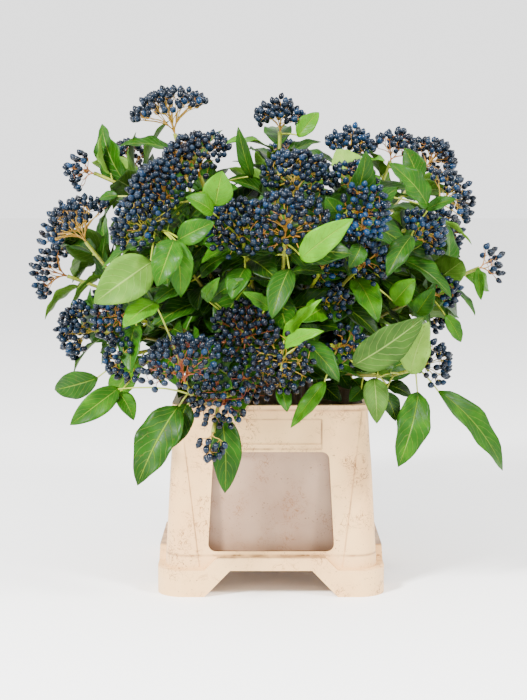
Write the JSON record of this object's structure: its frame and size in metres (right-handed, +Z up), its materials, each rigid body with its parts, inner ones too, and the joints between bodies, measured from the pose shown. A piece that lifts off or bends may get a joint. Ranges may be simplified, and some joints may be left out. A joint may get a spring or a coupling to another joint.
{
  "type": "viburnum berry cluster",
  "caption": "Bunch of cut viburnum with dark blue berry heads and glossy green leaves, standing in water in a square moulded plastic flower bucket.",
  "frame": {"origin": "on the ground under the middle of the bucket", "axes": "+Z up; the side in the picture faces -Y, and +X is to its right"},
  "size_m": [0.5225, 0.5135, 0.5364],
  "materials": {
    "bucket_plastic": "cream moulded plastic, satin, scuffed and spotted with soil",
    "water": "clear still water",
    "leafy_stem": "green woody shoots with glossy evergreen leaves, paler underneath",
    "berry": "smooth blue-black berries with a faint bloom, on ochre stalks"
  },
  "bodies": {
    "root": {"berry_head_01": "berry", "berry_head_02": "berry", "berry_head_03": "berry", "berry_head_04": "berry", "berry_head_05": "berry", "berry_head_06": "berry", "berry_head_07": "berry", "berry_head_08": "berry", "berry_head_09": "berry", "berry_head_10": "berry", "berry_head_11": "berry", "berry_head_12": "berry", "berry_head_13": "berry", "berry_head_14": "berry", "berry_head_15": "berry", "berry_head_16": "berry", "berry_head_17": "berry", "berry_head_18": "berry", "berry_head_19": "berry", "berry_head_20": "berry", "berry_head_21": "berry", "berry_head_22": "berry", "berry_head_23": "berry", "berry_head_24": "berry", "berry_head_25": "berry", "berry_head_26": "berry", "berry_head_27": "berry", "berry_head_28": "berry", "berry_head_29": "berry", "berry_head_30": "berry", "berry_head_31": "berry", "berry_head_32": "berry", "berry_head_33": "berry", "berry_head_34": "berry", "berry_head_35": "berry", "berry_head_36": "berry", "berry_head_37": "berry", "berry_head_38": "berry", "berry_head_39": "berry", "berry_head_40": "berry", "berry_head_41": "berry", "berry_head_42": "berry", "berry_head_43": "berry", "berry_head_44": "berry", "berry_head_45": "berry", "berry_head_46": "berry", "branch_01": "leafy_stem", "branch_02": "leafy_stem", "branch_03": "leafy_stem", "branch_04": "leafy_stem", "branch_05": "leafy_stem", "branch_06": "leafy_stem", "branch_07": "leafy_stem", "branch_08": "leafy_stem", "branch_09": "leafy_stem", "branch_10": "leafy_stem", "branch_11": "leafy_stem", "branch_12": "leafy_stem", "bucket": "bucket_plastic", "water": "water"}
  },
  "joints": []
}
